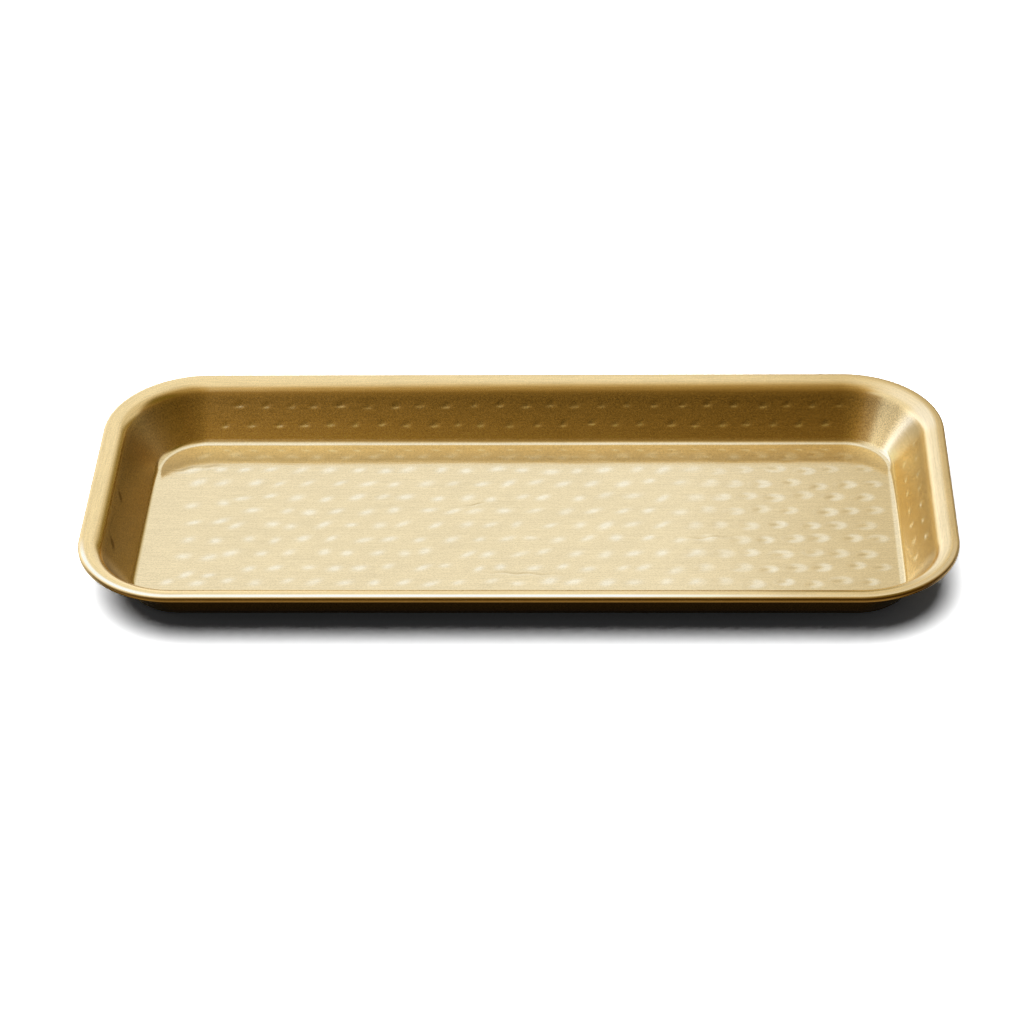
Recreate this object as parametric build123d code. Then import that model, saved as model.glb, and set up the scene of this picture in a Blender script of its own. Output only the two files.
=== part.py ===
"""Coin tray: a long shallow tray pressed from thin brass sheet, with a wired, curled rim.

Millimetres, +Z up. The origin is at the centre of the underside, X runs along the tray.
The sheet has one section all the way round: flat floor, sloping wall, narrow flat lip, and an
edge that is curled down and back round a steel wire. The floor is hammered from above.
"""
from build123d import *
from math import ceil, cos, hypot, radians, sin, tan
import os

# Overall size, measured over the curled rim
tray_length = 240.0
tray_width = 110.0
tray_height = 15.8
corner_radius = 28.0

# Sheet, with its bends measured on the upper side
sheet = 0.6
wall_angle = 58.5
floor_bend_radius = 2.6
lip_bend_radius = 5.0
lip_flat = 1.0

# Wire, and the edge curled round it: both are drawn in narrow flats
wire_diameter = 0.6
wire_clearance = 0.1
wire_end_gap = 1.0
wire_side_count = 8
curl_flats = 12
curl_flats_per_turn = 16

# Hammer marks on the floor: shallow dents in staggered rows
mark_width = 5.6
mark_depth = 0.25
mark_side_count = 6
mark_pitch = 8.0
mark_row_pitch = 6.8
mark_margin = 1.0
mark_overrun = 0.05

# Sizes worked out from those above
bead_radius = wire_diameter / 2 + wire_clearance + sheet
wire_level = tray_height - bead_radius
wire_radius = corner_radius - bead_radius
half_side = tray_length / 2 - corner_radius
half_end = tray_width / 2 - corner_radius


def wall_run():
    """Level distance that the middle of the sheet covers between its floor and its lip."""
    return (tray_height - sheet) / tan(radians(wall_angle))


def floor_corner():
    """Distance from a corner's axis to where floor and wall would meet without their bend."""
    bend_length = (lip_bend_radius - sheet / 2) * tan(radians(wall_angle / 2))
    return wire_radius - lip_flat - bend_length - wall_run()


def floor_edge():
    """Distance from a corner's axis to the edge of the flat floor."""
    return floor_corner() - (floor_bend_radius + sheet / 2) * tan(radians(wall_angle / 2))


def curl_line():
    """Middle of the sheet in the curl: flats that all touch one circle round the wire."""
    step = radians(360 / curl_flats_per_turn)
    middle_radius = bead_radius - sheet / 2
    corner_distance = middle_radius / cos(step / 2)
    stops = [(0, middle_radius)]
    stops += [((flat + 0.5) * step, corner_distance) for flat in range(curl_flats)]
    stops.append((curl_flats * step, middle_radius))
    return Polyline(*[(wire_radius + r * sin(a), wire_level + r * cos(a)) for a, r in stops])


def sheet_section():
    """Section of the sheet from the flat floor to the tip of the curl.

    X is the distance from a corner's axis and Y is the height.
    """
    middle = FilletPolyline(
        (floor_edge() - sheet, sheet / 2),
        (floor_corner(), sheet / 2),
        (floor_corner() + wall_run(), tray_height - sheet / 2),
        (wire_radius, tray_height - sheet / 2),
        radius=[floor_bend_radius + sheet / 2, lip_bend_radius - sheet / 2],
    )
    return trace(middle + curl_line(), sheet)


def round_the_tray(section):
    """Carry a section round the four corners and along the four sides of the tray."""
    upright = Plane.XZ * section
    corner = revolve(upright, Axis.Z, 90)
    side = Rot(0, 0, 90) * extrude(upright, half_side, both=True)
    end = extrude(upright, half_end, both=True)
    pieces = []
    for turn, x, y in ((0, 1, 1), (90, -1, 1), (180, -1, -1), (270, 1, -1)):
        pieces.append(Pos(x * half_side, y * half_end) * Rot(0, 0, turn) * corner)
    for turn, y in ((0, 1), (180, -1)):
        pieces.append(Pos(0, y * half_end) * Rot(0, 0, turn) * side)
    for turn, x in ((0, 1), (180, -1)):
        pieces.append(Pos(x * half_side, 0) * Rot(0, 0, turn) * end)
    return pieces


def mark_places():
    """Centres of the hammer marks: staggered rows, kept inside the flat floor's outline."""
    reach = floor_edge() - mark_width / 2 - mark_margin
    columns = ceil((half_side + reach) / mark_pitch)
    rows = ceil((half_end + reach) / mark_row_pitch)
    places = []
    for row in range(-rows, rows + 1):
        y = row * mark_row_pitch
        for column in range(-columns, columns + 1):
            x = (column + row % 2 / 2) * mark_pitch
            past_side = max(abs(x) - half_side, 0)
            past_end = max(abs(y) - half_end, 0)
            if hypot(past_side, past_end) <= reach:
                places.append((x, y))
    return places


def hammer_marks():
    """Shallow pyramids, point down, that dent the upper side of the floor."""
    spread = 1 + mark_overrun / mark_depth
    rim = Pos(0, 0, sheet + mark_overrun) * RegularPolygon(mark_width / 2 * spread, mark_side_count)
    point = Vertex(0, 0, sheet - mark_depth)
    dent = loft([rim, point])
    return [Pos(x, y) * dent for x, y in mark_places()]


def make_tray_shell():
    """The pressed sheet: floor, walls, lip and curl in one piece."""
    reach = floor_edge()
    floor_outline = RectangleRounded(2 * (half_side + reach), 2 * (half_end + reach), reach)
    floor = extrude(floor_outline, sheet)
    plain = floor.fuse(*round_the_tray(sheet_section())).clean()
    return plain.cut(*hammer_marks())


def make_rim_wire():
    """Steel wire that the edge is curled round, cut to length with its ends nearly meeting."""
    section = Pos(wire_radius, wire_level) * RegularPolygon(wire_diameter / 2, wire_side_count)
    pieces = round_the_tray(section)
    ring = pieces[0].fuse(*pieces[1:]).clean()
    gap = Pos(0, half_end + wire_radius, wire_level) * Box(wire_end_gap, corner_radius, corner_radius)
    return ring - gap


def write_node(name, shape):
    """Write one piece to its own file, after a check that it is one valid solid."""
    solids = shape.solids()
    if len(solids) != 1 or not shape.is_valid:
        raise ValueError(name + " is not one valid solid")
    solid = solids[0]
    solid.label = name
    export_step(solid, os.path.join("parts", name + ".step"))


os.makedirs("parts", exist_ok=True)
write_node("tray_shell", make_tray_shell())
write_node("rim_wire", make_rim_wire())
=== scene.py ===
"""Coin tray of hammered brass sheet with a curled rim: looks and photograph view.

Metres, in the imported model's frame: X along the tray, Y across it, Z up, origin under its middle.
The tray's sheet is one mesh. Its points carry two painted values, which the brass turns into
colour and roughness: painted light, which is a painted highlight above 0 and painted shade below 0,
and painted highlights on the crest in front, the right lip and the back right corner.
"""
import math

import bpy
import numpy as np
from mathutils import Matrix, Vector


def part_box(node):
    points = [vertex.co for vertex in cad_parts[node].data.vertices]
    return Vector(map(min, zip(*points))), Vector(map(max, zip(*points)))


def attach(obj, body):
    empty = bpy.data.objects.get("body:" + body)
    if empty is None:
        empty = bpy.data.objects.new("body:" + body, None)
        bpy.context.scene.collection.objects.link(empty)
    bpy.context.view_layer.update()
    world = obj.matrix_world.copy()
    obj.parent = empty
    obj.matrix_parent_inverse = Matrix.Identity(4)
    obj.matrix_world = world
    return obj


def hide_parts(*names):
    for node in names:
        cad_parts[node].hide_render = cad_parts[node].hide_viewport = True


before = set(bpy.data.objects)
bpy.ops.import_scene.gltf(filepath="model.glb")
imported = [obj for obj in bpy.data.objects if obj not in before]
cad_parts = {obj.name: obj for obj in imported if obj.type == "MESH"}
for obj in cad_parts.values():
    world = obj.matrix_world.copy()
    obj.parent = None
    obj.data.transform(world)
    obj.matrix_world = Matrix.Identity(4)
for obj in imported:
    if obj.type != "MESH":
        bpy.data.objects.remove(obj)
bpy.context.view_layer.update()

MM = 0.001

# Section of the sheet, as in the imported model
SHEET = 0.6 * MM
WALL_ANGLE = math.radians(58.5)
FLOOR_BEND = 2.6 * MM
LIP_BEND = 5.0 * MM
LIP_FLAT = 1.0 * MM
BEAD_RADIUS = 1.0 * MM
CORNER_RADIUS = 28.0 * MM
CURL_TURN = math.radians(270.0)

# Fineness of the mesh
CELL = 0.5 * MM
WALL_ROWS_PER_CELL = 2
OUTER_WALL_COARSENESS = 4
CORNER_STEPS = 40
BEND_STEPS = 12
LIP_STEPS = 3
BEAD_STEPS = 32
CHANNEL_STEPS = 16

# Places of the hammer marks on the floor
MARK_PITCH = 8.0 * MM
MARK_ROW_PITCH = 6.8 * MM
MARK_MARGIN = 1.0 * MM
LEFT_MARKS_FROM = -82 * MM
LEFT_MARK_SHIFT = 0.6
LEFT_ROWS = (21.2 * MM, 11.0 * MM, 2.1 * MM, -7.4 * MM, -16.0 * MM, -23.6 * MM)

# Dents of the hammer marks: hardness is a share of the depth, and sizes are shares of the radius
MARK_RADIUS = 2.8 * MM
MARK_DEPTH = 0.10 * MM
MARK_PLACE_SPREAD = 0.09
MARK_ROW_SPREAD = 0.07
MARK_SIZES = (0.86, 1.08)
MARK_STRETCHES = (0.85, 1.0)
MARK_HARDNESSES = (0.7, 1.2)
OVAL_HARDNESS = 0.30
RING_HARDNESS_ADDED = 0.45
DENT_RIM_SOFTNESS = 0.08
BACK_FADE_SHARES = (0.75, 0.95)
BACK_FADE = (1.0, 0.15)
FLOOR_FADE = 2 * MM

# Tone of the hammer marks: painted highlights in ovals, which turn into rings with painted shade in
# the middle at the right
OVAL_LENGTH = 1.8 * MM
OVAL_WIDTH = 1.05 * MM
OVAL_TURN = math.radians(27.0)
OVAL_TURN_SPREAD = 0.15
OVAL_SIZES = (0.75, 1.2)
OVAL_FLATTENING = 1.2
RINGS_FROM = 42 * MM
RINGS_TO = 74 * MM
RING_SQUEEZE = (0.78, 1.35)
RING_RADIUS_SHARE = 0.55
RING_WIDTH_SHARE = 0.42
RING_STRENGTH = 0.95
RING_SIDES = ((-0.6, 0.1), (0.25, 1))
RING_FULL_SIDE = 0.1
RING_FULL_SIDE_SPREAD = 0.5
PALENESSES = (0.7, 1.1)
CORE_SHIFT = (0.9 * MM, 0.1 * MM)
CORE_TURN = 0.3
CORE_TURN_SPREAD = 0.3
CORE_LENGTH = 1.6 * MM
CORE_WIDTH = 0.8 * MM
CORE_DARKNESSES = (0.25, 0.6)
FLAT_TOP_POWER = 4

# Relief of the underside: its lift is in mark depths, and its rows are low and face down
UNDERSIDE_RELIEF_SHARE = 0.5
UNDERSIDE_LIFT = 1.4
UNDERSIDE_HEIGHT = 1.0 * MM
FACING_DOWN = -0.5

# Slow waves of the floor, and its rise towards the back wall
WAVE_COUNT = 14
WAVE_LENGTHS_MM = (14, 46)
WAVE_DEPTH = 0.012 * MM
WAVE_DROP = 2.5
BACK_RISE = 0.13 * MM
BACK_RISE_FROM = 25 * MM
BACK_RISE_TO = 38 * MM

# Fine creases in the floor, drawn only as painted shade with a painted highlight beside it:
# place, turn, half length and width
CREASES = (
    (-97.5 * MM, 28.0 * MM, 0.30, 3.4 * MM, 0.7 * MM),
    (-90.5 * MM, 29.3 * MM, 0.05, 3.0 * MM, 0.6 * MM),
    (-13.0 * MM, 10.2 * MM, 0.25, 2.0 * MM, 0.35 * MM),
    (1.0 * MM, -23.0 * MM, -0.06, 8.0 * MM, 0.35 * MM),
    (52.0 * MM, -6.0 * MM, 0.1, 5.0 * MM, 0.35 * MM),
)
CREASE_DARKNESS = 0.8
CREASE_PALENESS = 0.5
CREASE_PALE_SHIFT = 1.6
CREASE_SWAY = 0.3 * MM
CREASE_SWAY_LENGTH = 1.1 * MM

# Lines painted along the section: the sheet's lean in degrees, and the line's strength there.
# On the bends a strength above 0 is a painted highlight and below 0 painted shade; the crest and
# right lip lines are painted highlights, and the front and right bead lines painted dark
# reflections
BACK_BEND_LINE = ((5, 14, 26, 31, 38, 50, 57), (0, 0.6, 0.6, 0, -0.7, -0.7, 0))
RIGHT_BEND_LINE = ((3, 12, 40, 57), (0, 0.1, 0.1, 0))
CREST_LINE = ((0, 18, 28), (1, 1, 0))
RIGHT_LIP_LINE = ((0, 4, 36, 48), (0.05, 0.15, 0.2, 0))
FRONT_BEAD_LINE = ((36, 46, 66, 76), (0, 1.3, 1.3, 0))
RIGHT_BEAD_LINE = ((0, 30, 45, 58), (0.15, 0.2, 0.5, 1.5))

# How two of these lines start on the last rows of the lip, before the bead
CREST_ON_LIP = (0.4, 1)
RIGHT_LINE_ON_LIP = (0.0, 0.1, 0.15)

# Parts of the way outward in a direction over which painted lines, painted shade and painted
# highlights begin
AT_A_SIDE = (0.3, 0.7)
BACK_BEND_BEGINS = (0.8, 1.0)
BACK_BEAD_BEGINS = (0.3, 0.6)
FRONT_BEAD_BEGINS = (0.3, 0.8)
FRONT_SHADE_BEGINS = (0.1, 0.4)
LEFT_SHADE_BEGINS = (0.3, 0.6)
CREST_BEGINS = (0, 0.3)

# Painted shade on the walls, from a few rows of the floor's bend upwards, and painted shade on the
# outer side
SHADE_ROWS_OF_BEND = 4
FRONT_LEFT_SHADE = 0.9
LEFT_SHADE = 0.2
OTHER_BEAD_LINE_SHARE = 0.4
OUTER_SHADE = -0.5

# Painted highlight on the crest in front: places are shares of half the straight side
CREST_PLACE_SHARES = (-0.9, -0.3, 0.3, 0.9)
CREST_HIGHLIGHTS = (0.8, 1, 1, 0.2)

# Painted highlight in the back right corner: places are measured along the wall from the corner's
# start
SHINE = 0.6
SHINE_FOOT = 8.5 * MM
SHINE_HEAD = 4.5 * MM
SHINE_WIDTH = 5.5 * MM
SHINE_RADIUS = 20 * MM
SHINE_ROWS_OF_BEND = 6
SHINE_FADE_SHARES = (0.75, 0.95)
SHINE_FADE = (1, 0.25)
SHINE_LEAST_RIGHT = 0.3
FAR_AWAY = 1.0

# Where the brushing's lengths are measured round the corners
BRUSHING_REACH = CORNER_RADIUS - 6 * MM

# Hammer ticks on the walls, dents with a painted highlight: their strengths are in the order of the
# outline's sides
TICK_PITCH = 7.6 * MM
TICK_WIDTH = 1.0 * MM
TICK_RISE = 1.7 * MM
TICK_EDGE = 0.5 * MM
TICK_EDGE_DROP = 0.1 * MM
TICK_DEPTH = 0.10 * MM
TICK_SLANT = 0.4
TICK_ROW_SHARES = (0.29, 0.70)
TICK_STRENGTHS = {"right": 1.8, "back": 1.3, "left": 0.1, "front": 1.0}
TICK_PLACE_SPREAD = 0.07
TICK_LEVEL_SPREAD_MM = 0.15
TICK_SIZES = (0.75, 1.2)
TICK_HARDNESSES = (0.5, 1.0)
TICK_PALENESSES = (0.8, 1.3)
TICK_TAIL_TONE = 0.6

# Nicks in the left wall, painted shade with a slight burr: place along it, and share of its height
NICKS = ((-22.0 * MM, 0.72), (-0.6 * MM, 0.78))
NICK_TURN = 0.5
NICK_LENGTH = 1.7 * MM
NICK_WIDTH = 0.55 * MM
NICK_DARKNESS = 2.0
NICK_BURR = 0.3

# Brass on the walls and on the floor, plain and in painted highlights, then brass for painted shade
# and for painted highlights. The floor's paler brass is partly painted sheen
WALL_BRASS = (0.845, 0.665, 0.35, 1)
FLOOR_BRASS = (0.83, 0.70, 0.44, 1)
HIGHLIT_WALL_BRASS = (0.98, 0.86, 0.60, 1)
HIGHLIT_FLOOR_BRASS = (0.93, 0.85, 0.65, 1)
SHADED_BRASS = (0.38, 0.26, 0.10, 1)
HIGHLIGHT_BRASS = (1.0, 0.98, 0.90, 1)

# Heights over which the brass changes
FLOOR_TO_WALL = (0.7 * MM, 2.2 * MM)
UP_THE_WALL = (2.0 * MM, 12.0 * MM)
ONTO_THE_LIP = (12.0 * MM, 14.0 * MM)
ONTO_THE_RIM = (13.0 * MM, 14.5 * MM)

# Fineness of the brass's textures, per metre, and depth of the metals' fine relief
GRAIN_SCALE = 2300.0
CLOUD_SCALE = 70.0
FLOOR_LINES_SCALE = (90.0, 1700.0, 300.0)
WALL_LINES_SCALE = (90.0, 1900.0, 1.0)
BLOTCH_SCALE = (500.0, 900.0, 300.0)
BUMP_STRENGTH = 0.2
BRASS_BUMP = 0.04 * MM
STEEL_BUMP = 0.02 * MM

# Studio: the tent's radius, the stage's half size, and the cloth on the floor in front
TENT_RADIUS = 0.5
TENT_STEPS_AROUND = 64
TENT_LEVELS = 20
FLOOR_HALF_SIZE = 6.0
CLOTH_HALF_SIZE = 0.45
CLOTH_BACK_EDGE = -43 * MM
CLOTH_LEVEL = 0.3 * MM
SUN_STRENGTH = 3.2
SUN_WIDTH = math.radians(62)
SUN_TILT = math.radians(-10)
WHITE = (1, 1, 1, 1)

# The tent's base colours, by how near a direction is to a point 35 degrees behind the zenith
OVER_BACK = 0.574
OVER_UP = 0.819
OVER_LOWEST = -0.6
OVER_HIGHEST = 1.0
OVER_COLOURS = (
    (-0.34, (0.07, 0.045, 0.014, 1)),
    (-0.08, (0.19, 0.115, 0.023, 1)),
    (0.10, (0.28, 0.18, 0.055, 1)),
    (0.356, (0.38, 0.27, 0.10, 1)),
    (0.60, (0.47, 0.34, 0.15, 1)),
    (0.76, (0.70, 0.58, 0.36, 1)),
    (0.84, (0.84, 0.78, 0.66, 1)),
    (0.93, (0.88, 0.85, 0.82, 1)),
)

# Sockets of the mixing node for colours, by number because several have the same name
MIX_FACTOR, MIX_FIRST, MIX_SECOND, MIX_RESULT = 0, 6, 7, 2

SEED = 11
rng = np.random.default_rng(SEED)
low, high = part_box("tray_shell")
half_side = (high.x - low.x) / 2 - CORNER_RADIUS
half_end = (high.y - low.y) / 2 - CORNER_RADIUS
height = high.z


def arc(centre, radius, start, stop, steps, outward=1):
    """Rows of a section round an arc. Angles are from upright, and the ends are included."""
    rows = []
    for angle in np.linspace(start, stop, steps + 1):
        nx, nz = math.sin(angle), math.cos(angle)
        rows.append((centre[0] + radius * nx, centre[1] + radius * nz, outward * nx, outward * nz))
    return rows


def straight(first, last, steps):
    """Rows of a section between two rows, without these two."""
    rows = []
    for share in np.linspace(0, 1, steps + 1)[1:-1]:
        rows.append(tuple(a + (b - a) * share for a, b in zip(first, last)))
    return rows


class Section:
    """Closed section of the sheet, from the floor's top over the rim to its underside.

    Each row holds reach, height, and the normal's level and upright parts. Reach is the
    distance from a corner's axis. Lean is the normal's angle from upright, in degrees.
    """

    def __init__(self):
        wire_reach = CORNER_RADIUS - BEAD_RADIUS
        middle_run = (height - SHEET) / math.tan(WALL_ANGLE)
        lip_length = (LIP_BEND - SHEET / 2) * math.tan(WALL_ANGLE / 2)
        corner = wire_reach - LIP_FLAT - lip_length - middle_run
        self.floor_edge = corner - (FLOOR_BEND + SHEET / 2) * math.tan(WALL_ANGLE / 2)

        floor_centre = (self.floor_edge, SHEET + FLOOR_BEND)
        lip_centre = (wire_reach - LIP_FLAT, height - LIP_BEND)
        bead_centre = (wire_reach, height - BEAD_RADIUS)
        foot = math.pi - WALL_ANGLE
        floor_bend = arc(floor_centre, FLOOR_BEND, math.pi, foot, BEND_STEPS, -1)
        lip_bend = arc(lip_centre, LIP_BEND, -WALL_ANGLE, 0, BEND_STEPS)
        bead = arc(bead_centre, BEAD_RADIUS, 0, CURL_TURN, BEAD_STEPS)
        channel = arc(bead_centre, BEAD_RADIUS - SHEET, CURL_TURN, 0, CHANNEL_STEPS, -1)
        lip_under = arc(lip_centre, LIP_BEND - SHEET, 0, -WALL_ANGLE, BEND_STEPS, -1)
        floor_under = arc(floor_centre, FLOOR_BEND + SHEET, foot, math.pi, BEND_STEPS)

        wall_length = math.dist(floor_bend[-1][:2], lip_bend[0][:2])
        wall_steps = round(wall_length / CELL * WALL_ROWS_PER_CELL)
        floor_steps = round(self.floor_edge / CELL)
        rows = straight((0, SHEET, 0, 1), floor_bend[0], floor_steps) + floor_bend
        self.wall_start = len(rows)
        rows += straight(floor_bend[-1], lip_bend[0], wall_steps)
        self.wall_stop = len(rows)
        rows += lip_bend + straight(lip_bend[-1], bead[0], LIP_STEPS)
        self.bead_start = len(rows)
        rows += bead
        self.bead_stop = len(rows)
        rows += channel
        self.outer_start = len(rows)
        rows += straight(channel[-1], lip_under[0], LIP_STEPS) + lip_under
        rows += straight(lip_under[-1], floor_under[0], wall_steps // OUTER_WALL_COARSENESS)
        rows += floor_under + straight(floor_under[-1], (0, 0, 0, -1), floor_steps)
        self.rows = np.array(rows)
        self.lean = np.degrees(np.arccos(np.clip(self.rows[:, 3], -1, 1)))

    def line(self, first, stop, strengths):
        """Strength of a painted line on each row: 0 but for the rows from first to stop."""
        line = np.zeros(len(self.rows))
        line[first:stop] = np.interp(self.lean[first:stop], *strengths)
        return line

    def bead_line(self, strengths, on_lip=()):
        """Painted line on the bead, which can start on the last rows of the lip."""
        line = self.line(self.bead_start, self.bead_stop, strengths)
        line[self.bead_start - len(on_lip):self.bead_start] = on_lip
        return line


def outline():
    """Points round the tray: where each corner axis or side line is, and the way outward."""
    side_steps = round(2 * half_side / CELL)
    end_steps = round(2 * half_end / CELL)
    xs = np.linspace(-half_side, half_side, side_steps + 1)
    ys = np.linspace(-half_end, half_end, end_steps + 1)
    anchors, outward = [], []
    sides = (
        [(half_side, y) for y in ys],
        [(x, half_end) for x in xs[::-1]],
        [(-half_side, y) for y in ys[::-1]],
        [(x, -half_end) for x in xs],
    )
    for quarter, side in enumerate(sides):
        turn = quarter * math.pi / 2
        anchors += side
        outward += [(math.cos(turn), math.sin(turn))] * len(side)
        for step in range(1, CORNER_STEPS):
            angle = turn + step / CORNER_STEPS * math.pi / 2
            anchors.append(side[-1])
            outward.append((math.cos(angle), math.sin(angle)))
    return xs, ys, np.array(anchors), np.array(outward)


def mark_places(floor_edge):
    """Centres of the floor's hammer marks: staggered rows, and wider ones at the left end."""
    reach = floor_edge - MARK_RADIUS - MARK_MARGIN
    rows = math.ceil((half_end + reach) / MARK_ROW_PITCH)
    columns = math.ceil((half_side + reach) / MARK_PITCH)
    places = []
    for row in range(-rows, rows + 1):
        for column in range(-columns, columns + 1):
            x = (column + row % 2 / 2) * MARK_PITCH
            y = row * MARK_ROW_PITCH
            inside = math.hypot(max(abs(x) - half_side, 0), max(abs(y) - half_end, 0)) <= reach
            if inside and (x > LEFT_MARKS_FROM or abs(y) > half_end):
                places.append((x, y))
    for y in LEFT_ROWS:
        for column in (1, 2):
            places.append((LEFT_MARKS_FROM + (LEFT_MARK_SHIFT - column) * MARK_PITCH, y))
    return places


def turned(dx, dy, turn):
    """Distances along and across a direction."""
    along = dx * math.cos(turn) + dy * math.sin(turn)
    across = dy * math.cos(turn) - dx * math.sin(turn)
    return along, across


def bowl(distance):
    """Depth share of a round dent at a distance in radii: a bowl with a softened rim."""
    return DENT_RIM_SOFTNESS * np.logaddexp(0, (1 - distance**2) / DENT_RIM_SOFTNESS)


def oval(dx, dy, turn, length, width):
    """Soft oval spot, 1 in its middle, with its long side at a turn."""
    along, across = turned(dx, dy, turn)
    return np.exp(-((along / length) ** 2) - (across / width) ** 2)


def open_ring(dx, dy, size, full_side):
    """Soft ring, 1 on its line towards its full side and weaker on the other side."""
    distance = np.hypot(RING_SQUEEZE[0] * dx, RING_SQUEEZE[1] * dy) / size
    ring = np.exp(-(((distance - RING_RADIUS_SHARE) / RING_WIDTH_SHARE) ** FLAT_TOP_POWER))
    return ring * np.interp(np.cos(np.arctan2(dy, dx) - full_side), *RING_SIDES)


def floor_marks(points, floor_edge):
    """Depth and tone of the floor's hammer marks at points: tone is a painted highlight above 0 and
    painted shade below.
    """
    depth = np.zeros(len(points))
    highlit = np.zeros(len(points))
    painted_shade = np.zeros(len(points))
    for x, y in mark_places(floor_edge):
        x += rng.normal(0, MARK_PLACE_SPREAD) * MARK_PITCH
        y += rng.normal(0, MARK_ROW_SPREAD) * MARK_ROW_PITCH
        dx, dy = points[:, 0] - x, points[:, 1] - y
        near = np.flatnonzero(dx**2 + dy**2 < (2 * MARK_RADIUS) ** 2)
        dx, dy = dx[near], dy[near]
        ring_share = np.interp(x, (RINGS_FROM, RINGS_TO), (0, 1))
        size = MARK_RADIUS * rng.uniform(*MARK_SIZES)
        stretch = rng.uniform(*MARK_STRETCHES)
        along, across = turned(dx, dy, rng.uniform(0, math.pi))
        distance = np.hypot(along, across / stretch) / size
        hard = np.interp(y, [share * half_end for share in BACK_FADE_SHARES], BACK_FADE)
        hard *= (OVAL_HARDNESS + RING_HARDNESS_ADDED * ring_share) * rng.uniform(*MARK_HARDNESSES)
        depth[near] = np.maximum(depth[near], hard * bowl(distance))

        # Painted highlight of the dent in an oval, or in an open ring at the right, with painted
        # shade in the ring's middle
        turn = OVAL_TURN + rng.normal(0, OVAL_TURN_SPREAD)
        length = OVAL_LENGTH * rng.uniform(*OVAL_SIZES)
        width = OVAL_WIDTH * rng.uniform(*OVAL_SIZES)
        spot = np.clip(OVAL_FLATTENING * oval(dx, dy, turn, length, width), 0, 1.0)
        ring = open_ring(dx, dy, size, rng.normal(RING_FULL_SIDE, RING_FULL_SIDE_SPREAD))
        strength = rng.uniform(*PALENESSES)
        mix = (1 - ring_share) * spot + ring_share * RING_STRENGTH * ring
        highlit[near] = np.maximum(highlit[near], strength * mix)
        turn = rng.normal(CORE_TURN, CORE_TURN_SPREAD)
        core = oval(dx + CORE_SHIFT[0], dy + CORE_SHIFT[1], turn, CORE_LENGTH, CORE_WIDTH)
        darkness = ring_share * rng.uniform(*CORE_DARKNESSES)
        painted_shade[near] = np.maximum(painted_shade[near], darkness * core)
    tone = highlit * (1 - painted_shade) - painted_shade
    add_creases(points, tone)
    return depth, tone


def add_creases(points, tone):
    """Add the floor's creases to the tone: painted shade along slightly swaying lines, with a
    painted highlight on one side.
    """
    for x, y, turn, length, width in CREASES:
        dx, dy = points[:, 0] - x, points[:, 1] - y
        dy = dy - CREASE_SWAY * np.sin(dx / CREASE_SWAY_LENGTH)
        # Painted shade along the crease, and a painted highlight beside it
        tone -= CREASE_DARKNESS * oval(dx, dy, turn, length, width)
        tone += CREASE_PALENESS * oval(dx, dy + CREASE_PALE_SHIFT * width, turn, length, width)


def waves(points):
    """Slow unevenness of the beaten floor, as height: it also rises towards the back wall."""
    total = np.zeros(len(points))
    for _ in range(WAVE_COUNT):
        length = rng.uniform(*WAVE_LENGTHS_MM) * MM
        angle = rng.uniform(0, math.pi)
        phase = rng.uniform(0, 2 * math.pi)
        across = points[:, 0] * math.cos(angle) + points[:, 1] * math.sin(angle)
        total += np.sin(2 * math.pi * across / length + phase)
    share = np.clip((points[:, 1] - BACK_RISE_FROM) / (BACK_RISE_TO - BACK_RISE_FROM), 0, 1)
    rise = BACK_RISE * share**2 * (3 - 2 * share)
    return rise - WAVE_DEPTH * (total / math.sqrt(WAVE_COUNT) + WAVE_DROP)


def wall_marks(along, up, wall_length, side_length, strength):
    """Depth and tone of a wall's hammer ticks, the tone being a painted highlight: two staggered
    rows on a straight side.
    """
    depth = np.zeros(along.shape)
    tone = np.zeros(along.shape)
    count = int((side_length - TICK_PITCH) / TICK_PITCH)
    for row, share in enumerate(TICK_ROW_SHARES):
        for number in range(count + 1):
            shift = rng.normal(0, TICK_PLACE_SPREAD) * TICK_PITCH
            centre = (number - count / 2 + row / 2) * TICK_PITCH + shift
            level = share * wall_length + rng.normal(0, TICK_LEVEL_SPREAD_MM) * MM
            dx, dy = along - centre, up - level
            width = rng.uniform(*TICK_SIZES) * TICK_WIDTH
            wide = np.exp(-(((dx - TICK_SLANT * dy) / width) ** 2))
            steep = np.interp(dy, (-TICK_EDGE, 0, TICK_RISE), (0, 1, 0))
            depth = np.maximum(depth, rng.uniform(*TICK_HARDNESSES) * wide * steep)
            # Painted highlight along the tick's lower edge and down its tail
            edge = np.exp(-(((dy + TICK_EDGE_DROP) / TICK_EDGE) ** 2))
            highlit = np.maximum(edge, TICK_TAIL_TONE * steep)
            tone = np.maximum(tone, rng.uniform(*TICK_PALENESSES) * wide * highlit)
    return strength * depth, strength * tone


def add_nicks(along, up, wall_length, depth, tone):
    """Add the nicks to a wall's depth and tone: painted shade, with a slight burr."""
    for place, share in NICKS:
        dx, dy = along - place, up - share * wall_length
        nick = oval(dx, dy, NICK_TURN, NICK_LENGTH, NICK_WIDTH)
        # Painted shade in the nick
        tone -= NICK_DARKNESS * nick
        depth -= NICK_BURR * nick


def facing(way, limits):
    """Share from 0 to 1 as the way outward's part in a direction goes from limit to limit."""
    return np.interp(way, limits, (0, 1))


def spread(line, share):
    """Values by row and outline point, from one value for each row and one for each point."""
    return line[:, None] * share[None]


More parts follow.
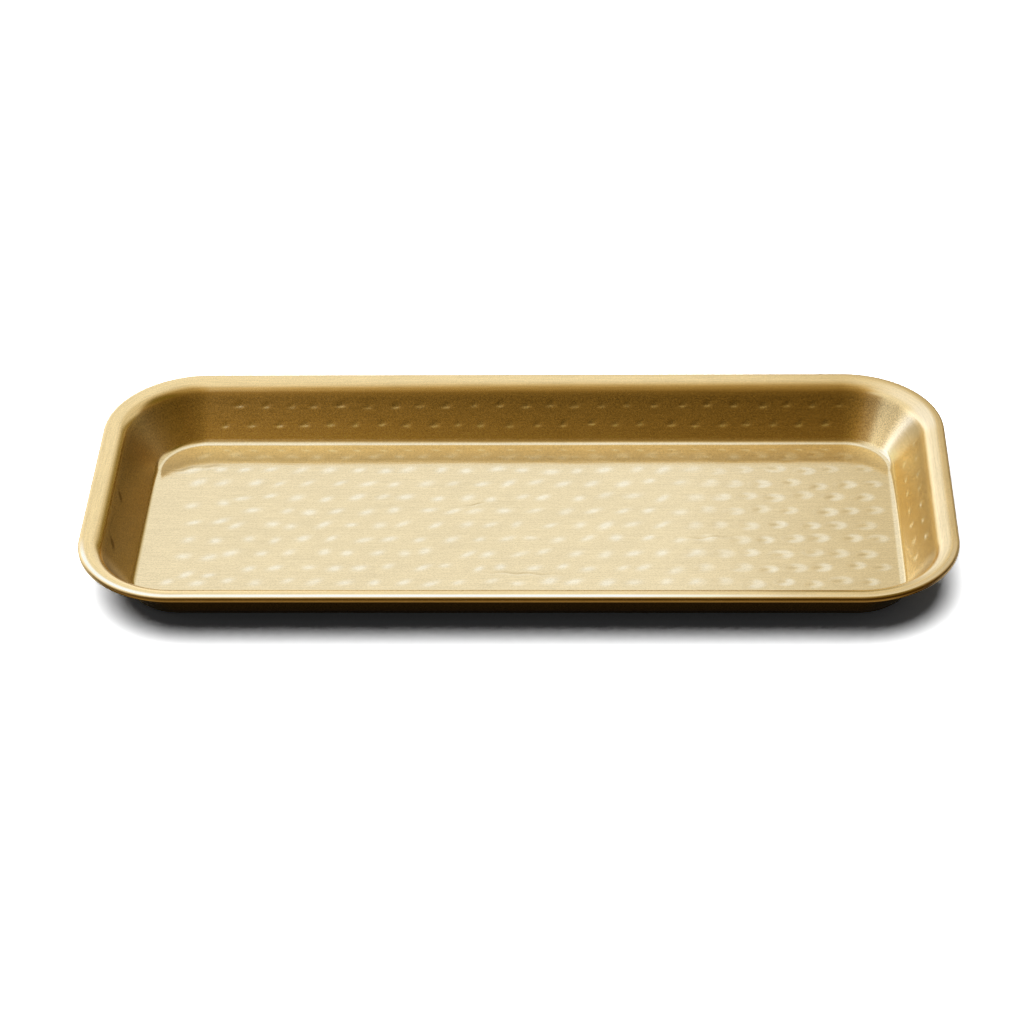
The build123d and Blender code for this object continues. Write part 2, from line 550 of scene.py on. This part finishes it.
def section_rings(rows, anchors, outward):
    """Points and normals of the section carried round the outline, by row and outline point."""
    rings = anchors[None] + rows[:, 0, None, None] * outward[None]
    levels = np.broadcast_to(rows[:, 1, None, None], rings.shape[:2] + (1,))
    rises = np.broadcast_to(rows[:, 3, None, None], rings.shape[:2] + (1,))
    points = np.concatenate([rings, levels], 2)
    normals = np.concatenate([rows[:, 2, None, None] * outward[None], rises], 2)
    return points, normals


def underside(relief):
    """Height of the underside over marks of a depth share: it is lowest under their middles."""
    return (UNDERSIDE_LIFT - relief).clip(0) * MARK_DEPTH * UNDERSIDE_RELIEF_SHARE


def dent_floor(part, grid, points, normals):
    """Dent the floor, its bend and its underside, fading out up the bend.

    Moves the rings' points. Returns the two grids' heights, and the painted light of grid and
    rings.
    """
    floor_points = np.concatenate([grid, points[:, :, :2].reshape(-1, 2)])
    relief, tone = floor_marks(floor_points, part.floor_edge)
    wave = waves(floor_points)
    shape = points.shape[:2]
    grid_relief, ring_relief = relief[:len(grid)], relief[len(grid):].reshape(shape)
    grid_tone, ring_tone = tone[:len(grid)], tone[len(grid):].reshape(shape)
    grid_wave, ring_wave = wave[:len(grid)], wave[len(grid):].reshape(shape)

    number = np.arange(len(part.rows))
    fade = np.clip((part.floor_edge - part.rows[:, 0]) / FLOOR_FADE + 1, 0, 1)
    top = (number < part.wall_start) * fade
    drop = (ring_relief * MARK_DEPTH - ring_wave) * top[:, None]
    points -= normals * drop[:, :, None]
    low_down = (part.rows[:, 1] < UNDERSIDE_HEIGHT) & (part.rows[:, 3] < FACING_DOWN)
    under = ((number > part.wall_stop) & low_down) * fade
    lift = underside(ring_relief) * under[:, None]
    points -= normals * lift[:, :, None]
    top_heights = SHEET - grid_relief * MARK_DEPTH + grid_wave
    return top_heights, underside(grid_relief), grid_tone, ring_tone * top[:, None]


def paint_lines(part, outward, painted_light):
    """Paint highlights and shade on the bends, dark reflections on the bead, and shade on the walls
    and the outer side.
    """
    to_right, to_back = outward[:, 0], outward[:, 1]
    at_right = facing(to_right, AT_A_SIDE)
    at_left = facing(-to_right, AT_A_SIDE)
    left_or_back = np.maximum(at_left, facing(to_back, BACK_BEAD_BEGINS))
    front_left = facing(-to_back, FRONT_SHADE_BEGINS) * facing(-to_right, LEFT_SHADE_BEGINS)

    right_line = part.bead_line(RIGHT_BEAD_LINE, RIGHT_LINE_ON_LIP)
    back_bend = part.line(0, part.wall_start, BACK_BEND_LINE)
    right_bend = part.line(0, part.wall_start, RIGHT_BEND_LINE)
    # Painted highlights and shade along the bends, and painted dark reflections along the bead
    painted_light += spread(back_bend, facing(to_back, BACK_BEND_BEGINS))
    painted_light -= spread(part.bead_line(FRONT_BEAD_LINE), facing(-to_back, FRONT_BEAD_BEGINS))
    painted_light += spread(right_bend - right_line, at_right)
    painted_light -= spread(OTHER_BEAD_LINE_SHARE * right_line, left_or_back)
    # Painted shade on the front left and left walls, and on the whole outer side
    shaded = slice(part.wall_start - SHADE_ROWS_OF_BEND, part.wall_stop)
    painted_light[shaded] -= np.maximum(FRONT_LEFT_SHADE * front_left, LEFT_SHADE * at_left)[None]
    painted_light[part.outer_start:] = OUTER_SHADE


def dent_walls(part, anchors, points_on_sides, points, normals, painted_light):
    """Ticks on the four walls, and two nicks in the left one: moves points, adds their painted
    highlights and shade.
    """
    wall = slice(part.wall_start, part.wall_stop)
    foot = part.rows[part.wall_start - 1]
    wall_length = math.dist(foot[:2], part.rows[part.wall_stop][:2])
    up = np.hypot(part.rows[wall, 0] - foot[0], part.rows[wall, 1] - foot[1])
    first = 0
    for side, strength in TICK_STRENGTHS.items():
        axis = 1 if side in ("right", "left") else 0
        span = slice(first, first + points_on_sides[axis])
        along = anchors[span, axis]
        grid_along, grid_up = np.meshgrid(along, up)
        depth, tone = wall_marks(grid_along, grid_up, wall_length, np.ptp(along), strength)
        if side == "left":
            add_nicks(grid_along, grid_up, wall_length, depth, tone)
        points[wall, span] -= normals[wall, span] * (depth[:, :, None] * TICK_DEPTH)
        painted_light[wall, span] += tone
        first = span.stop + CORNER_STEPS - 1


def corner_highlight(levels, anchors, outward):
    """Painted highlight that slants up the wall of the back right corner, by level and outline
    point.
    """
    turn = np.arctan2(outward[:, 1], outward[:, 0])
    place = np.where(turn > 0, turn * SHINE_RADIUS, anchors[:, 1] - half_end)
    place = np.where(outward[:, 0] > SHINE_LEAST_RIGHT, place, FAR_AWAY)
    centre = np.interp(levels, (0, height), (SHINE_FOOT, SHINE_HEAD))
    fading = [share * height for share in SHINE_FADE_SHARES]
    strength = SHINE * np.interp(levels, fading, SHINE_FADE)
    distance = (place[None] - centre[:, None]) / SHINE_WIDTH
    return strength[:, None] * np.exp(-(distance**FLAT_TOP_POWER))


def ring_highlights(part, anchors, outward):
    """Painted highlights by row and outline point: the crest in front, the right lip, the back
    right corner.
    """
    places = [share * half_side for share in CREST_PLACE_SHARES]
    in_front = facing(-outward[:, 1], CREST_BEGINS)
    in_front = in_front * np.interp(anchors[:, 0], places, CREST_HIGHLIGHTS)
    # Painted highlight on the crest in front, and on the right lip
    crest = spread(part.bead_line(CREST_LINE, CREST_ON_LIP), in_front)
    lip_stop = part.bead_start - len(CREST_ON_LIP)
    lip = part.line(part.wall_stop, lip_stop, RIGHT_LIP_LINE)
    painted_highlight = np.maximum(crest, spread(lip, facing(outward[:, 0], AT_A_SIDE)))
    shining = slice(part.wall_start - SHINE_ROWS_OF_BEND, part.wall_stop + BEND_STEPS)
    painted_highlight[shining] += corner_highlight(part.rows[shining, 1], anchors, outward)
    return painted_highlight


def ring_strips(part, ring_first, anchors, outward):
    """Faces between neighbouring rings, and the map that their brushing follows.

    The map holds lengths along the outline and up the section.
    """
    path = anchors + BRUSHING_REACH * outward
    steps = np.linalg.norm(np.roll(path, -1, 0) - path, axis=1)
    run = np.concatenate([[0], np.cumsum(steps)])
    climbs = np.hypot(np.diff(part.rows[:, 0]), np.diff(part.rows[:, 1]))
    rise = np.concatenate([[0], np.cumsum(climbs)])
    u = np.column_stack([run[:-1], run[:-1], run[1:], run[1:]])
    count = len(anchors)
    around = np.arange(count)
    after = (around + 1) % count
    faces, maps = [], []
    for row in range(len(part.rows) - 1):
        lower = ring_first + row * count
        upper = lower + count
        corners = [lower + around, upper + around, upper + after, lower + after]
        faces.append(np.column_stack(corners))
        v = np.broadcast_to([rise[row], rise[row + 1], rise[row + 1], rise[row]], u.shape)
        maps.append(np.stack([u, v], 2).reshape(-1, 2))
    return faces, maps


def grid_squares(columns, rows):
    """Faces of a grid of points, seen from above."""
    cells = (np.arange(rows - 1)[:, None] * columns + np.arange(columns - 1)[None]).ravel()
    return np.column_stack([cells, cells + 1, cells + columns + 1, cells + columns])


def grid_edge(xs, ys, anchors):
    """Index in the grid of the point under each outline point."""
    column = np.rint((anchors[:, 0] - xs[0]) / (xs[1] - xs[0])).astype(int)
    row = np.rint((anchors[:, 1] - ys[0]) / (ys[1] - ys[0])).astype(int)
    return (row * len(xs) + column).tolist()


def seam_faces(edge, ring_first, under_first):
    """Faces from the edges of the two grids to the first and the last ring."""
    count = len(edge)
    around = np.arange(count)
    after = (around + 1) % count
    top_ring = ring_first + around
    last_ring = under_first - count + around
    seams = []
    for number in range(count):
        following = after[number]
        inner, inner_next = edge[number], edge[following]
        for ring, shift, flip in ((top_ring, 0, False), (last_ring, under_first, True)):
            corners = [inner + shift, ring[number], ring[following], inner_next + shift]
            if inner == inner_next:
                corners.pop()
            seams.append(corners[::-1] if flip else corners)
    return seams


def build_tray():
    """The sheet as one closed mesh: top and bottom grids joined by rings round the section."""
    part = Section()
    xs, ys, anchors, outward = outline()
    grid_x, grid_y = np.meshgrid(xs, ys)
    grid = np.stack([grid_x.ravel(), grid_y.ravel()], 1)
    points, normals = section_rings(part.rows, anchors, outward)
    top_heights, under_heights, grid_tone, painted_light = dent_floor(part, grid, points, normals)
    paint_lines(part, outward, painted_light)
    dent_walls(part, anchors, (len(xs), len(ys)), points, normals, painted_light)
    painted_highlight = ring_highlights(part, anchors, outward)

    # Points: the floor's top, the rings, then the floor's underside
    top_grid = np.column_stack([grid, top_heights])
    under_grid = np.column_stack([grid, under_heights])
    vertices = np.concatenate([top_grid, points.reshape(-1, 3), under_grid])
    none = np.zeros(len(grid))
    # Painted light of the grids: the floor's marks on top, and the outer side's painted shade
    # underneath
    painted_light = np.concatenate([grid_tone, painted_light.ravel(), none + OUTER_SHADE])
    painted_highlight = np.concatenate([none, painted_highlight.ravel(), none])

    # Faces: strips between rings, the two grids, and the seams
    ring_first = len(top_grid)
    under_first = len(vertices) - len(under_grid)
    faces, maps = ring_strips(part, ring_first, anchors, outward)
    squares = grid_squares(len(xs), len(ys))
    faces += [squares, squares[:, ::-1] + under_first]
    maps += [grid[squares.ravel()], grid[squares[:, ::-1].ravel()]]
    seams = seam_faces(grid_edge(xs, ys, anchors), ring_first, under_first)
    maps += [vertices[seam, :2] for seam in seams]

    mesh = bpy.data.meshes.new("tray")
    mesh.from_pydata(vertices.tolist(), [], np.concatenate(faces).tolist() + seams)
    mesh.uv_layers.new(name="lengths").data.foreach_set("uv", np.concatenate(maps).ravel())
    # Painted light and painted highlights on the points, which the brass reads
    mesh.attributes.new("painted_light", "FLOAT", "POINT").data.foreach_set("value", painted_light)
    mesh.attributes.new("painted_highlight", "FLOAT", "POINT").data.foreach_set("value", painted_highlight)
    mesh.polygons.foreach_set("use_smooth", [True] * len(mesh.polygons))
    mesh.update()
    tray = bpy.data.objects.new("hammered_tray", mesh)
    bpy.context.scene.collection.objects.link(tray)
    return tray


class Nodes:
    """Short way to add nodes to a material's or world's tree and join them."""

    def __init__(self, owner):
        owner.use_nodes = True
        self.tree = owner.node_tree
        self.tree.nodes.clear()

    def put(self, node, key, value):
        """Join an output to a node's input, or set the input to a plain value."""
        if isinstance(value, bpy.types.NodeSocket):
            self.tree.links.new(value, node.inputs[key])
        else:
            node.inputs[key].default_value = value

    def add(self, kind, inputs=(), **settings):
        """Add a node, with its settings first and then its inputs."""
        node = self.tree.nodes.new(kind)
        for name, value in settings.items():
            setattr(node, name, value)
        for key, value in dict(inputs).items():
            self.put(node, key, value)
        return node

    def math(self, operation, *values):
        return self.add("ShaderNodeMath", dict(enumerate(values)), operation=operation).outputs[0]

    def product(self, first, second):
        """Two shares multiplied: where both of them hold."""
        return self.math("MULTIPLY", first, second)

    def weighted(self, base, *terms):
        """Base plus each term's value times its weight."""
        total = base
        for value, weight in terms:
            total = self.math("MULTIPLY_ADD", value, weight, total)
        return total

    def ramp(self, value, start, stop, low_value=0.0, high_value=1.0, kind="SMOOTHSTEP"):
        """Change from one value to another as the input goes from start to stop."""
        inputs = {"Value": value, "From Min": start, "From Max": stop}
        inputs.update({"To Min": low_value, "To Max": high_value})
        return self.add("ShaderNodeMapRange", inputs, interpolation_type=kind).outputs[0]

    def mix(self, factor, first, second, **settings):
        """Change from the first colour or value to the second as the factor goes from 0 to 1."""
        inputs = {MIX_FACTOR: factor, MIX_FIRST: first, MIX_SECOND: second}
        node = self.add("ShaderNodeMix", inputs, data_type="RGBA", **settings)
        return node.outputs[MIX_RESULT]

    def noise(self, vector, scale, detail, roughness):
        inputs = {"Vector": vector, "Scale": scale, "Detail": detail, "Roughness": roughness}
        return self.add("ShaderNodeTexNoise", inputs).outputs[0]

    def stretched(self, vector, scale):
        return self.add("ShaderNodeMapping", {"Vector": vector, "Scale": scale}).outputs[0]

    def place(self):
        """Place on the object, in its own axes."""
        return self.add("ShaderNodeTexCoord").outputs["Object"]

    def axes(self, vector):
        """The three parts of a vector, by the names X, Y and Z."""
        return self.add("ShaderNodeSeparateXYZ", {"Vector": vector}).outputs


def finish_metal(n, colour, rough, relief, depth):
    """End a metal's tree with its fine relief, its shader and its output."""
    inputs = {"Strength": BUMP_STRENGTH, "Distance": depth, "Height": relief}
    bump = n.add("ShaderNodeBump", inputs).outputs[0]
    inputs = {"Base Color": colour, "Roughness": rough, "Metallic": 1.0, "Normal": bump}
    shader = n.add("ShaderNodeBsdfPrincipled", inputs)
    n.add("ShaderNodeOutputMaterial", {"Surface": shader.outputs[0]})


def brass_material():
    """Satin brass: brushed round the walls, grained all over, paler in painted highlights and
    darker in painted shade.
    """
    material = bpy.data.materials.new("hammered_brass")
    n = Nodes(material)
    where = n.place()
    lengths = n.add("ShaderNodeUVMap", uv_map="lengths").outputs[0]
    z = n.axes(where)["Z"]
    floor_share = n.ramp(z, *FLOOR_TO_WALL, 1.0, 0.0)
    wall_share = n.math("SUBTRACT", 1.0, floor_share)
    # The sheet's painted light and painted highlights
    painted_light = n.add("ShaderNodeAttribute", attribute_name="painted_light").outputs["Fac"]
    painted_highlight = n.add("ShaderNodeAttribute", attribute_name="painted_highlight").outputs["Fac"]

    # Grain of about half a millimetre, cloudy tone, and brushing along floor and walls
    grain = n.noise(where, GRAIN_SCALE, 2.0, 0.7)
    cloud = n.noise(where, CLOUD_SCALE, 4.0, 0.6)
    floor_lines = n.noise(n.stretched(where, FLOOR_LINES_SCALE), 1.0, 3.0, 0.6)
    wall_lines = n.noise(n.stretched(lengths, WALL_LINES_SCALE), 1.0, 3.0, 0.7)
    lines = n.mix(floor_share, wall_lines, floor_lines)

    # Colour: painted highlights, broken up by blotches, then painted shade and the painted
    # highlights' brass
    blotches = n.noise(n.stretched(where, BLOTCH_SCALE), 1.0, 3.0, 0.7)
    highlight_spots = n.math("MULTIPLY", painted_light, n.ramp(blotches, 0.25, 0.55, 0.55, 1.15, "LINEAR"))
    painted_shade = n.math("MULTIPLY", painted_light, -1.0)
    colour = n.mix(floor_share, WALL_BRASS, FLOOR_BRASS)
    highlit = n.mix(floor_share, HIGHLIT_WALL_BRASS, HIGHLIT_FLOOR_BRASS)
    colour = n.mix(highlight_spots, colour, highlit)
    colour = n.mix(n.ramp(painted_shade, 0.0, 1.3, 0.0, 1.0, "LINEAR"), colour, SHADED_BRASS)
    colour = n.mix(painted_highlight, colour, HIGHLIGHT_BRASS)

    # Tone: painted shade darker up the wall, painted light again on the lip
    painted_wall_shade = n.ramp(z, *UP_THE_WALL, 0.12, -0.28, "LINEAR")
    painted_lip_light = n.ramp(z, *ONTO_THE_LIP, 0.0, 0.32, "LINEAR")
    painted_wall_light = n.math("ADD", painted_wall_shade, painted_lip_light)
    terms = ((cloud, 0.12), (lines, 0.28), (wall_share, painted_wall_light), (painted_highlight, 0.12))
    tone = n.weighted(0.80, *terms)

    # Brushing shows most on the rim
    on_rim = n.ramp(z, *ONTO_THE_RIM, 0.0, 0.22)
    tone = n.math("MULTIPLY_ADD", n.math("SUBTRACT", wall_lines, 0.5), on_rim, tone)

    # Grain: strongest on the walls, fine on the rim, nearly none on the painted highlights
    below_lip = n.math("MULTIPLY", wall_share, n.ramp(z, *ONTO_THE_LIP, 1.0, 0.0))
    strength = n.weighted(0.40, (floor_share, 0.15), (below_lip, 0.9))
    strength = n.math("MULTIPLY", strength, n.ramp(painted_highlight, 0.0, 0.6, 1.0, 0.2, "LINEAR"))
    tone = n.math("MULTIPLY_ADD", n.math("SUBTRACT", grain, 0.5), strength, tone)
    colour = n.add("ShaderNodeHueSaturation", {"Color": colour, "Value": tone}).outputs[0]

    # Roughness: the walls are duller than the floor, and most of all where there is painted shade
    dull = n.ramp(painted_shade, 0.0, 0.2, 0.0, 0.14, "LINEAR")
    rough = n.weighted(0.01, (cloud, 0.06), (lines, 0.08), (wall_share, 0.16), (painted_highlight, -0.06))
    rough = n.math("MULTIPLY_ADD", wall_share, dull, rough)
    relief = n.weighted(0.0, (grain, 0.4), (lines, 0.6))
    finish_metal(n, colour, rough, relief, BRASS_BUMP)
    return material


def steel_material():
    """Drawn steel wire, a little uneven in tone and dulling."""
    material = bpy.data.materials.new("drawn_steel")
    n = Nodes(material)
    patches = n.noise(n.place(), 400.0, 4.0, 0.6)
    colour = n.mix(patches, (0.42, 0.41, 0.40, 1), (0.66, 0.66, 0.67, 1))
    rough = n.ramp(patches, 0.3, 0.7, 0.28, 0.45)
    finish_metal(n, colour, rough, patches, STEEL_BUMP)
    return material


def stage_piece(name, vertices, faces, material):
    """Piece of the studio, which isn't part of the object."""
    mesh = bpy.data.meshes.new(name)
    mesh.from_pydata(vertices, [], faces)
    mesh.materials.append(material)
    piece = bpy.data.objects.new(name, mesh)
    bpy.context.scene.collection.objects.link(piece)
    return piece


def only_in_metal(piece):
    """Studio cloth that only the metal mirrors: it doesn't show or change the floor's light."""
    piece.visible_camera = False
    piece.visible_diffuse = False
    piece.visible_transmission = False
    piece.visible_volume_scatter = False
    piece.visible_shadow = False


def seen_share(n):
    """1 for camera and transmission rays, and for glossy rays that no matt surface sent on."""
    paths = n.add("ShaderNodeLightPath").outputs
    first_bounce = n.math("LESS_THAN", paths["Diffuse Depth"], 0.5)
    mirrored = n.math("MULTIPLY", paths["Is Glossy Ray"], first_bounce)
    seen = n.math("MAXIMUM", paths["Is Camera Ray"], mirrored)
    return n.math("MAXIMUM", seen, paths["Is Transmission Ray"])


def grey(level):
    """Grey, or brighter than white where the level is above 1."""
    return (level, level, level, 1)


def level_rectangle(left, right, front, back, z):
    """Corners of a level rectangle."""
    return [(left, front, z), (right, front, z), (right, back, z), (left, back, z)]


def make_floor():
    """Plain floor, white where it is seen or mirrored, that keeps the tray's shadow."""
    material = bpy.data.materials.new("white_floor")
    n = Nodes(material)
    colour = n.mix(seen_share(n), grey(0.06), grey(1.0))
    camera = n.add("ShaderNodeLightPath").outputs["Is Camera Ray"]
    colour = n.mix(camera, colour, grey(2.1))
    shader = n.add("ShaderNodeBsdfDiffuse", {"Color": colour})
    n.add("ShaderNodeOutputMaterial", {"Surface": shader.outputs[0]})
    size = FLOOR_HALF_SIZE
    corners = level_rectangle(-size, size, -size, size, 0)
    stage_piece("studio_floor", corners, [(0, 1, 2, 3)], material)


def finish_cloth(n, colour):
    """End a cloth's tree: it glows with its colour, towards mirrored rays only."""
    shader = n.add("ShaderNodeEmission", {"Color": colour, "Strength": seen_share(n)})
    n.add("ShaderNodeOutputMaterial", {"Surface": shader.outputs[0]})


def make_front_cloth():
    """Brown cloth on the floor in front of the tray, with a painted shadow where it reaches under
    the rim.
    """
    material = bpy.data.materials.new("front_cloth")
    n = Nodes(material)
    y = n.axes(n.place())["Y"]
    near = n.ramp(y, -75 * MM, -58 * MM, 0.0, 1.0, "LINEAR")
    colour = n.mix(near, (0.17, 0.105, 0.035, 1), (0.36, 0.24, 0.09, 1))
    # Painted shadow of the rim on the cloth
    painted_rim_shadow = n.ramp(y, -57.5 * MM, -55.5 * MM, 0.0, 1.0, "LINEAR")
    colour = n.mix(painted_rim_shadow, colour, (0.022, 0.014, 0.005, 1))
    finish_cloth(n, colour)
    size = CLOTH_HALF_SIZE
    corners = level_rectangle(-size, size, -size, CLOTH_BACK_EDGE, CLOTH_LEVEL)
    only_in_metal(stage_piece("front_cloth", corners, [(0, 1, 2, 3)], material))


def tent_base(n, back, up):
    """The tent's base colours: brown low in front, and paler the higher up."""
    over = n.weighted(0.0, (back, OVER_BACK), (up, OVER_UP))
    share = n.ramp(over, OVER_LOWEST, OVER_HIGHEST, 0.0, 1.0, "LINEAR")
    ramp = n.add("ShaderNodeValToRGB", {0: share})
    elements = ramp.color_ramp.elements
    while len(elements) < len(OVER_COLOURS):
        elements.new(1.0)
    for element, (position, colour) in zip(elements, OVER_COLOURS):
        element.position = (position - OVER_LOWEST) / (OVER_HIGHEST - OVER_LOWEST)
        element.color = colour
    return ramp.outputs[0]


def tent_colour(n, right, back, up):
    """The tent's colour in a direction, which is given by its parts to the right, back and up."""

    def times(share, colour, tint):
        return n.mix(share, colour, tint, blend_type="MULTIPLY")

    # Brighter in front at the left, white at the back and high at the left
    front_left = n.product(n.ramp(right, 0.0, -0.3), n.ramp(back, 0.0, -0.4))
    colour = times(front_left, tent_base(n, back, up), grey(1.5))
    colour = n.mix(n.ramp(back, 0.26, 0.38), colour, WHITE)
    left_top = n.product(n.ramp(right, -0.30, -0.45), n.ramp(up, 0.55, 0.70))
    colour = n.mix(left_top, colour, WHITE)

    # Window at the left: it reaches further forward higher up, and has a part at the far left
    low_back, high_back = n.ramp(back, -0.05, 0.22), n.ramp(back, -0.42, -0.08)
    back_share = n.mix(n.ramp(up, 0.27, 0.42), low_back, high_back)
    left_window = n.product(n.ramp(right, -0.05, -0.28), back_share)
    far_left = n.product(n.ramp(right, -0.54, -0.66), n.ramp(back, -0.56, -0.44))
    far_left = n.product(far_left, n.ramp(up, 0.30, 0.40))
    left_window = n.math("MAXIMUM", left_window, far_left)
    sky = n.mix(n.ramp(back, 0.65, 0.40), grey(1.25), grey(1.5))
    window = n.mix(n.ramp(up, 0.45, 0.30), WHITE, sky)
    colour = n.mix(left_window, colour, window)

    # Dim at the right: low down, at the horizon, and high in front most of all
    dim_right = n.ramp(right, 0.10, 0.27, 0.0, 1.0, "LINEAR")
    colour = times(dim_right, colour, (0.78, 0.72, 0.60, 1))
    low_right = n.product(n.ramp(right, 0.12, 0.24), n.ramp(up, 0.46, 0.24))
    colour = times(low_right, colour, (0.36, 0.28, 0.07, 1))
    horizon = n.product(n.ramp(right, 0.4, 0.6), n.ramp(up, 0.14, 0.05))
    colour = times(horizon, colour, (0.70, 0.60, 0.30, 1))
    top_right = n.product(n.ramp(right, 0.30, 0.45), n.ramp(back, 0.35, 0.05))
    top_right = n.product(top_right, n.ramp(up, 0.55, 0.70))
    return n.mix(top_right, colour, (0.17, 0.12, 0.015, 1))


def dome(radius, around, levels):
    """Points and faces of half a sphere, open below."""
    vertices = []
    for level in range(levels):
        rise = level / levels * math.pi / 2
        reach = radius * math.cos(rise)
        for step in range(around):
            turn = step / around * 2 * math.pi
            x, y = reach * math.cos(turn), reach * math.sin(turn)
            vertices.append((x, y, radius * math.sin(rise)))
    vertices.append((0, 0, radius))
    top = len(vertices) - 1
    faces = []
    for level in range(levels):
        for step in range(around):
            here = level * around + step
            following = level * around + (step + 1) % around
            if level == levels - 1:
                faces.append((here, following, top))
            else:
                faces.append((here, following, following + around, here + around))
    return vertices, faces


def make_tent():
    """Studio tent round the tray: white above and behind, brown in front, dim at the right."""
    material = bpy.data.materials.new("tent_cloth")
    n = Nodes(material)
    toward = n.add("ShaderNodeVectorMath", {0: n.place()}, operation="NORMALIZE").outputs[0]
    parts = n.axes(toward)
    finish_cloth(n, tent_colour(n, parts["X"], parts["Y"], parts["Z"]))
    vertices, faces = dome(TENT_RADIUS, TENT_STEPS_AROUND, TENT_LEVELS)
    only_in_metal(stage_piece("tent", vertices, faces, material))


def make_world():
    """White at strength 1 for rays that see it, and a little fill for the floor."""
    world = bpy.data.worlds.new("studio")
    bpy.context.scene.world = world
    n = Nodes(world)
    colour = n.mix(seen_share(n), grey(0.04), WHITE)
    shader = n.add("ShaderNodeBackground", {"Color": colour, "Strength": 1.0})
    n.add("ShaderNodeOutputWorld", {"Surface": shader.outputs[0]})


def make_sun():
    """Wide, soft light from nearly overhead, for the floor and the tray's shadow on it."""
    data = bpy.data.lights.new("sky", "SUN")
    data.energy = SUN_STRENGTH
    data.angle = SUN_WIDTH
    sun = bpy.data.objects.new("sky", data)
    sun.rotation_euler = (0, SUN_TILT, 0)
    sun.visible_glossy = False
    bpy.context.scene.collection.objects.link(sun)


def make_camera():
    """Long lens above the front, turned a little left and rolled, as in the photograph."""
    focal_pixels = 3357.0
    frame_pixels = 1024.0
    pitch = math.radians(35.15)
    yaw = math.radians(2.505)
    roll = math.radians(-1.49)
    distance = 950.5 * MM
    target = Vector((-2.67, 7.11, 0.0)) * MM
    forward = Vector(
        (-math.sin(yaw) * math.cos(pitch), math.cos(yaw) * math.cos(pitch), -math.sin(pitch))
    )
    level = Vector((math.cos(yaw), math.sin(yaw), 0))
    rise = level.cross(forward)
    right = math.cos(roll) * level + math.sin(roll) * rise
    up = -math.sin(roll) * level + math.cos(roll) * rise
    data = bpy.data.cameras.new("camera")
    data.sensor_width = 36.0
    data.lens = focal_pixels * data.sensor_width / frame_pixels
    camera = bpy.data.objects.new("camera", data)
    axes = Matrix((right, up, -forward)).transposed().to_4x4()
    camera.matrix_world = Matrix.Translation(target - distance * forward) @ axes
    bpy.context.scene.collection.objects.link(camera)
    bpy.context.scene.camera = camera


tray = build_tray()
tray.data.materials.append(brass_material())
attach(tray, "root")
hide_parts("tray_shell")

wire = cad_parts["rim_wire"]
wire.data.materials.clear()
wire.data.materials.append(steel_material())

make_floor()
make_front_cloth()
make_tent()
make_world()
make_sun()
make_camera()
bpy.context.scene.view_settings.view_transform = "Standard"
